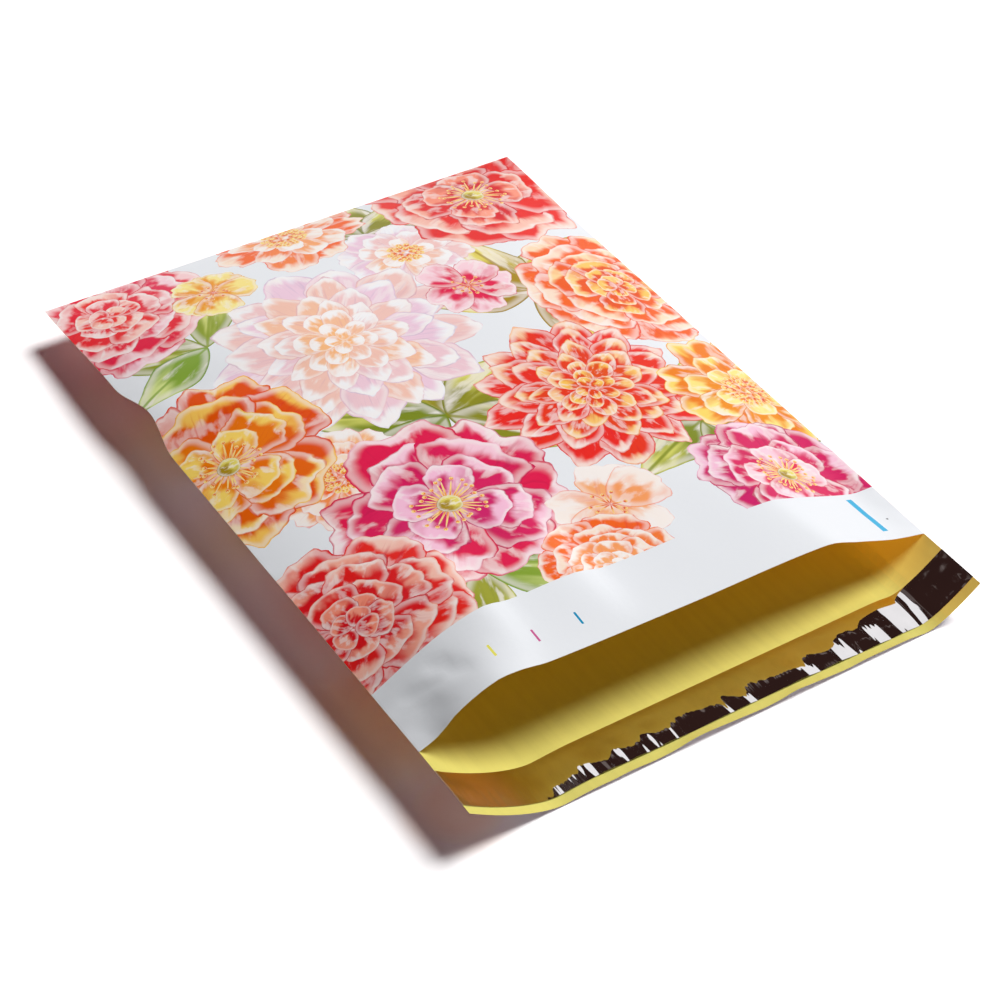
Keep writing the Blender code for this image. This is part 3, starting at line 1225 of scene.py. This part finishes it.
@dataclass(frozen=True)
class InnerFilm(Finish):
    """The film's yellow inner face, with a painted glow that stands in for the light that comes through the
    film where it is lit.
    """

    # through and through_right: painted glow, given as emission, for the light that comes through the sunlit
    # film; it is stronger and warmer to the right
    through: Tone = (0.098, 0.036, 0.000)
    through_right: Tone = (0.20, 0.065, 0.002)
    right_window: Point = (0.02, 0.12)

    def paint(self, sketch: NodeSketch) -> dict[str, object]:
        """Adds the faint flow lines from blowing the film, a painted glow for the light through the film, and
        the fine skin.

        Args:
            sketch: the material's nodes.

        Returns:
            The colour, the painted glow and the normal.
        """
        x, y, z = sketch.separate(sketch.place())
        lines = sketch.noise(sketch.combine(sketch.times(x, 260.0), sketch.times(y, 9.0), z), 1.0)
        # Painted glow: emission wherever the mesh's lit share is set
        glow = sketch.mix(sketch.step(x, *self.right_window), self.through, self.through_right)
        return {
            "Base Color": self.shade(sketch, sketch.step(lines, 0.3, 0.7), 0.95),
            "Emission Color": sketch.mix(sketch.attribute("lit", "Fac"), (0.0, 0.0, 0.0), glow),
            "Emission Strength": 1.0,
            "Normal": self.skin(sketch),
        }


@dataclass(frozen=True)
class MirrorFilm(Finish):
    """Metallised film with fine handling ripples, scuffed towards its left end."""

    scuffed: float = 0.20
    scuff_window: Point = (-0.080, -0.105)

    def paint(self, sketch: NodeSketch) -> dict[str, object]:
        """Adds the fine ripples, the slight clouding of the metal layer and the scuffs.

        Args:
            sketch: the material's nodes.

        Returns:
            The colour, the normal and the roughness.
        """
        place = sketch.place()
        x, y, z = sketch.separate(place)
        ripple = sketch.noise(sketch.combine(x, sketch.times(y, 0.5), z), 260.0, 1.0)
        worn = sketch.times(sketch.step(x, *self.scuff_window), self.scuffed)
        return {
            "Base Color": self.shade(sketch, sketch.step(sketch.noise(place, 60.0, 3.0), 0.35, 0.65), 0.93),
            "Normal": sketch.bump(ripple, 0.03, 0.0006),
            "Roughness": sketch.math("ADD", worn, self.roughness),
        }


@dataclass(frozen=True)
class HotMelt(Finish):
    """Clear tacky adhesive."""

    def paint(self, sketch: NodeSketch) -> dict[str, object]:
        """Adds the ribs that the coating head leaves.

        Args:
            sketch: the material's nodes.

        Returns:
            The colour and the normal.
        """
        x, y, z = sketch.separate(sketch.place())
        ribs = sketch.noise(sketch.combine(sketch.times(x, 30.0), sketch.times(y, 900.0), z), 1.0)
        return {"Base Color": self.shade(sketch, ribs, 0.9), "Normal": sketch.bump(ribs, 0.3, 0.0002)}


def thicken(piece: Piece, thickness: float, offset: float, inner: int = 0) -> None:
    """Gives a sheet its thickness.

    Args:
        piece: the sheet.
        thickness: in metres.
        offset: -1 to grow behind the faces and 1 to grow before them.
        inner: how many material slots further on the new faces' material is.
    """
    bpy.ops.object.select_all(action="DESELECT")
    piece.select_set(True)
    bpy.context.view_layer.objects.active = piece
    wall = piece.modifiers.new("thickness", "SOLIDIFY")
    wall.thickness = thickness
    wall.offset = offset
    wall.use_rim = True
    wall.material_offset = inner
    wall.material_offset_rim = inner
    bpy.ops.object.modifier_apply(modifier=wall.name)
    piece.data.set_sharp_from_angle(angle=math.radians(40))


@dataclass
class BagFilm:
    """The folded and welded film, with its print."""

    shape: FilmShape
    plan: PrintPlan = field(default_factory=PrintPlan)
    outside: Finish = PrintedFilm("printed_film", (239, 241, 245), 0.40, specular=0.25)
    inside: Finish = InnerFilm("yellow_inner_film", (228, 218, 118), 0.38, specular=0.4)
    # How strongly the painted glow shows on the inside of the back panel's right slope, where it starts, and
    # how far it takes to reach full strength
    slope_painted_glow: float = 1.3
    slope_start: float = 98.0
    slope_reach: float = 22.0

    def build(self) -> Piece:
        """Cuts the flat sheet, drapes it and gives it its thickness.

        Returns:
            The film.
        """
        sheet = SheetCutter(self.plan).cut()
        places = self.shape.place(sheet.points[:, 0] * MM, sheet.points[:, 1] * MM)
        mesh = bpy.data.meshes.new("film")
        mesh.from_pydata(places.tolist(), [], sheet.triangles.tolist())
        self.ink(mesh, sheet)
        piece = bpy.data.objects.new("film", mesh)
        bpy.context.scene.collection.objects.link(piece)
        for finish in (self.outside, self.inside):
            mesh.materials.append(finish.material())
        mesh.shade_smooth()
        thicken(piece, self.shape.film, -1.0, 1)
        LOG.info("film: %d triangles of flat sheet, %d inks", len(sheet.triangles), len(sheet.inks))
        return piece

    def ink(self, mesh: bpy.types.Mesh, sheet: FlatSheet) -> None:
        """Writes each triangle's ink, and the share of the inner face's painted glow, onto the mesh.

        Args:
            mesh: the mesh of the flat sheet's triangles.
            sheet: the flat sheet.
        """
        ground = Mark((0, 0), (0, 0), self.plan.ground)
        rows = [self.ink_row(ink) for ink in (ground, *sheet.inks)]
        for name, column in (("heart", 0), ("body", 1), ("rim", 2)):
            tones = np.array([(*row[column], 1.0) for row in rows], np.float32)[sheet.ink]
            mesh.attributes.new(name, "FLOAT_COLOR", "FACE").data.foreach_set("color", tones.ravel())
        for name, column in (("form", 3), ("brush", 4), ("grain", 5)):
            values = np.array([row[column] for row in rows], np.float32)[sheet.ink]
            mesh.attributes.new(name, "FLOAT_VECTOR", "FACE").data.foreach_set("vector", values.ravel())

        # How much painted glow each inner face shows: all of it on the front panel, and some on the back
        # panel's right slope
        across, along = sheet.points[sheet.triangles].mean(axis=1).T
        slope = self.slope_painted_glow * ease((across - self.slope_start) / self.slope_reach)
        lit = np.where(along < self.plan.fold, 1.0, slope)
        mesh.attributes.new("lit", "FLOAT", "FACE").data.foreach_set("value", lit.astype(np.float32))

        petal = np.zeros((len(sheet.triangles), 3, 2))
        order = np.argsort(sheet.ink, kind="stable")
        for group in np.split(order, np.flatnonzero(np.diff(sheet.ink[order])) + 1):
            top = sheet.ink[group[0]]
            if top and isinstance(sheet.inks[top - 1], InkShape):
                corners = sheet.points[sheet.triangles[group]].reshape(-1, 2)
                petal[group] = sheet.inks[top - 1].petal_place(corners).reshape(-1, 3, 2)
        layer = mesh.uv_layers.new(name="petal")
        layer.uv.foreach_set("vector", petal.astype(np.float32).ravel())

    def ink_row(self, ink: InkShape | Mark) -> tuple:
        """Gives what is written onto the mesh for an ink.

        Args:
            ink: the ink, of which a mark's is plain.

        Returns:
            Its three tones, its form, its brush, and its grain with its covered share.
        """
        if isinstance(ink, Mark):
            return (linear(ink.tone),) * 3 + ((0.5, 2.0, 2.0), (0.0, 0.0, 0.0), (0.0, 0.0, 0.0))
        tones = (linear(tone) for tone in (ink.wash.heart, ink.wash.body, ink.wash.rim))
        brush = (ink.brush.vein, ink.brush.rib, ink.brush.wet)
        return (*tones, ink.form.value, brush, (ink.grain, ink.cover, 0.0))


@dataclass
class FlapStrip:
    """A thin strip across the flap, draped over the film there."""

    shape: FilmShape
    name: str
    finish: Finish
    near_run: float
    width: float
    lift: float
    thickness: float
    end_inset: float = 0.0001
    columns: int = 640
    rows: int = 58

    def build(self) -> Piece:
        """Makes the strip from a grid and drapes it.

        Returns:
            The strip.
        """
        bpy.ops.object.select_all(action="DESELECT")
        bpy.ops.mesh.primitive_grid_add(x_subdivisions=self.columns, y_subdivisions=self.rows, size=2)
        piece = bpy.context.object
        piece.name = piece.data.name = self.name
        count = len(piece.data.vertices)
        flat = np.empty(count * 3, np.float32)
        piece.data.vertices.foreach_get("co", flat)
        flat = flat.reshape(-1, 3).astype(float)
        run = self.near_run + (flat[:, 1] + 1) / 2 * self.width
        half = self.shape.half_width(run)
        across = flat[:, 0] * (1 - self.end_inset / half)
        height = self.shape.back(across, run) + self.shape.film + self.lift + self.relief(across * half, run)
        places = np.stack([across * half, run - self.shape.middle_run, height], axis=1)
        piece.data.vertices.foreach_set("co", places.astype(np.float32).ravel())
        piece.data.update()
        piece.data.materials.append(self.finish.material())
        piece.data.shade_smooth()
        thicken(piece, self.thickness, 1.0)
        return piece

    def relief(self, x: Array, run: Array) -> Array:
        """Gives how far the strip stands off the flap."""
        return np.zeros_like(x)


@dataclass
class PeelLiner(FlapStrip):
    """The stiff liner over the adhesive, buckled where it is stuck down on the softer film."""

    buckles: tuple[Point, ...] = (
        (-94.0, 0.05), (-83.0, 0.28), (-67.7, 0.03), (-60.2, 0.62), (-52.7, 0.25), (-46.8, 0.72),
        (-37.7, 0.25), (-32.3, 0.70), (-19.3, 0.10), (-1.8, 0.42), (1.5, 0.12), (6.5, 0.50),
        (13.2, 0.00), (36.5, 0.72), (44.0, 0.10), (53.0, 0.74), (65.0, 0.00), (74.0, 0.50),
        (81.5, 0.00), (86.5, 0.25), (95.7, 0.00),
    )
    stuck_run: float = -0.0165
    free_reach: float = 0.010
    teeth_reach: float = 0.0055
    lean: float = 0.25
    lean_run: float = -0.022
    least: float = 0.05

    def relief(self, x: Array, run: Array) -> Array:
        """Gives how far the buckles stand off the flap, with fine teeth where they start.

        Args:
            x: metres across the bag.
            run: metres along the bag.

        Returns:
            The stand-off, never far below 0.
        """
        free = ease((self.stuck_run - run) / self.free_reach)
        leant = (x + self.lean * (run - self.lean_run)) / MM
        height = np.full_like(x, self.least)
        for (x0, z0), (x1, z1) in zip(self.buckles, self.buckles[1:]):
            height = height + (z1 - z0) * ease((leant - x0) / (x1 - x0))
        starting = ease((self.stuck_run - 0.001 - run) / self.teeth_reach)
        fine = 0.008 * np.sin(x * 2700 + 2.4 * np.sin(x * 410))
        coarse = 0.030 * np.sin(x * 1130 + 1.0 + 2 * np.sin(x * 290))
        return MM * (height * free + (fine + coarse) * starting)


@dataclass
class Camera:
    """The camera that the photograph was taken with, as fitted to the bag's corners."""

    azimuth: float = -33.6631
    elevation: float = 41.0230
    roll: float = 1.6552
    distance: float = 1.0450426
    target: Place = (-0.0049063, -0.0141267, 0.0)
    focal_pixels: float = 2393.957
    centre_pixels: Point = (495.344, 488.593)
    picture: float = 1000.0
    sensor: float = 36.0

    def build(self) -> None:
        """Places the camera."""
        a, e, r = (math.radians(v) for v in (self.azimuth, self.elevation, self.roll))
        back = Vector((math.sin(a) * math.cos(e), -math.cos(a) * math.cos(e), math.sin(e)))
        right = Vector((math.cos(a), math.sin(a), 0.0))
        up = back.cross(right)
        rolled_right = right * math.cos(r) + up * math.sin(r)
        rolled_up = up * math.cos(r) - right * math.sin(r)
        data = bpy.data.cameras.new("camera")
        data.sensor_width = self.sensor
        data.lens = self.focal_pixels * self.sensor / self.picture
        data.shift_x = (self.picture / 2 - self.centre_pixels[0]) / self.picture
        data.shift_y = (self.centre_pixels[1] - self.picture / 2) / self.picture
        data.clip_start, data.clip_end = 0.01, 100.0
        made = bpy.data.objects.new("camera", data)
        turned = Matrix((rolled_right, rolled_up, back)).transposed().to_4x4()
        made.matrix_world = Matrix.Translation(Vector(self.target) + back * self.distance) @ turned
        bpy.context.scene.collection.objects.link(made)
        bpy.context.scene.camera = made


@dataclass
class Studio:
    """White floor, a wide soft key light, pale surroundings and the cards that the liner mirrors."""

    key_from: Place = (0.68, 0.03, 1.0)
    key_strength: float = 3.3
    key_angle: float = 26.0
    fill: float = 0.035
    floor_half: float = 6.0
    floor_height: float = -0.0002
    floor_tone: float = 0.86
    floor_shown: float = 1.25
    # Painted shadow colour: a faint red glow that the camera sees on the floor, which shows only in the
    # shadow, and a warmer floor tone round the shadow under the flap's left corner
    shadow_tint: Tone = (0.042, 0.0, 0.004)
    warm_shadow_place: Place = (-0.116, -0.162, 0.0)
    warm_shadow_reach: Point = (0.028, 0.008)
    warm_shadow_tone: Tone = (1.18, 0.86, 0.70)
    card_centre: Place = (0.0, -0.165, 0.0)
    card_distance: float = 4.0
    card_tone: Tone = (0.031, 0.014, 0.0117)
    card_streak: Tone = (0.16, 0.13, 0.12)
    streak_window: Point = (0.56, 0.72)

    def build(self) -> None:
        """Sets up the light, the floor and the cards."""
        self.key()
        self.world()
        self.floor()
        self.card("far_card", (0.24, 0.68), (45.0, 85.0))
        self.card("side_card", (-0.95, 0.04), (30.0, 95.0))

    def key(self) -> None:
        """Adds the wide soft key light."""
        light = bpy.data.lights.new("key", "SUN")
        light.energy = self.key_strength
        light.angle = math.radians(self.key_angle)
        made = bpy.data.objects.new("key", light)
        made.rotation_euler = Vector(self.key_from).to_track_quat("Z", "Y").to_euler()
        made.visible_glossy = False
        bpy.context.scene.collection.objects.link(made)

    def world(self) -> None:
        """Makes the surroundings: a dim fill, seen as white by the camera."""
        world = bpy.data.worlds.new("studio")
        bpy.context.scene.world = world
        world.use_nodes = True
        sketch = NodeSketch(world.node_tree)
        inputs = world.node_tree.nodes["Background"].inputs
        sketch.join((1.0, 1.0, 1.0), inputs["Color"])
        rays = sketch.add("LightPath").outputs
        seen = sketch.math("MAXIMUM", rays["Is Camera Ray"], rays["Is Transmission Ray"])
        seen = sketch.math("MAXIMUM", seen, rays["Is Glossy Ray"])
        sketch.join(sketch.times_plus(seen, 1.0 - self.fill, self.fill), inputs["Strength"])

    def plane(self, name: str, half: float, height: float) -> tuple[Piece, NodeSketch]:
        """Adds a plane that isn't part of the object.

        Args:
            name: its name, and its material's.
            half: half its size.
            height: how high it lies.

        Returns:
            The plane, and the nodes of its material, which shows nothing yet.
        """
        bpy.ops.object.select_all(action="DESELECT")
        bpy.ops.mesh.primitive_plane_add(size=2 * half, location=(0, 0, height))
        plane = bpy.context.object
        plane.name = name
        made = bpy.data.materials.new(name)
        made.use_nodes = True
        made.node_tree.nodes.remove(made.node_tree.nodes["Principled BSDF"])
        plane.data.materials.append(made)
        return plane, NodeSketch(made.node_tree)

    def floor(self) -> None:
        """Makes the floor, which the camera sees as white outside the bag's shadow, with a painted reddish
        glow that shows only in the shadow and a painted warmer shadow near the flap's left corner.
        """
        _, sketch = self.plane("floor", self.floor_half, self.floor_height)
        # Painted warmer shadow near the flap's left corner, then a painted red glow that shows only in shadow
        apart = sketch.add("VectorMath", {0: sketch.place(), 1: self.warm_shadow_place}, operation="DISTANCE")
        near = sketch.step(apart.outputs["Value"], *self.warm_shadow_reach)
        white = sketch.mix(near, (self.floor_shown,) * 3, self.warm_shadow_tone)
        shown = sketch.add("BsdfDiffuse", {"Color": white}).outputs[0]
        tint = sketch.add("Emission", {"Color": self.shadow_tint}).outputs[0]
        both = sketch.add("AddShader", {0: shown, 1: tint}).outputs[0]
        plain = sketch.add("BsdfDiffuse", {"Color": (self.floor_tone,) * 3}).outputs[0]
        seen = sketch.add("LightPath").outputs["Is Camera Ray"]
        sketch.show(sketch.add("MixShader", {0: seen, 1: plain, 2: both}))

    def card(self, name: str, slants: Point, rises: Point) -> None:
        """Hangs a dark card that only shiny surfaces see.

        Args:
            name: the card's name.
            slants: where its sides are, as the slope across the bag from the closure.
            rises: where its lower and upper edges are, in degrees up from the bag's far end.
        """
        plane, sketch = self.plane(name, 1.0, 0.0)
        for corner in plane.data.vertices:
            slant = slants[corner.co.x > 0]
            rise = math.radians(rises[corner.co.y > 0])
            towards = Vector((slant, math.cos(rise), math.sin(rise)))
            corner.co = Vector(self.card_centre) + towards * self.card_distance
        streak = sketch.step(sketch.noise(sketch.place(), 2.2, 3.0), *self.streak_window)
        tone = sketch.mix(streak, self.card_tone, self.card_streak)
        sketch.show(sketch.add("Emission", {"Color": tone}))
        for ray in ("camera", "diffuse", "transmission", "volume_scatter", "shadow"):
            setattr(plane, f"visible_{ray}", False)


def dress(piece: Piece, node: str) -> None:
    """Puts a finished piece in the place of its solid.

    Args:
        piece: the finished piece.
        node: the solid's name.
    """
    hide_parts(node)
    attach(piece, BODY)
    LOG.info("%s: %d faces", piece.name, len(piece.data.polygons))


def main() -> None:
    """Builds the bag, the light and the camera."""
    logging.basicConfig(level=logging.INFO)
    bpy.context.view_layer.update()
    bpy.context.scene.view_settings.view_transform = "Standard"
    shape = FilmShape()
    dress(BagFilm(shape).build(), "bag_film")
    clear = HotMelt("clear_adhesive", (222, 208, 140), 0.25)
    adhesive = FlapStrip(shape, "hot_melt_band", clear, -0.028, 0.0155, 0.00006, 0.00012, columns=300, rows=8)
    dress(adhesive.build(), "adhesive_strip")
    mirror = MirrorFilm("metallised_liner", (234, 231, 233), 0.035, 1.0)
    liner = PeelLiner(shape, "peel_liner", mirror, -0.031, 0.0198, 0.00024, 0.00005)
    dress(liner.build(), "release_liner")
    Studio().build()
    Camera().build()


if __name__ == "__main__":
    main()
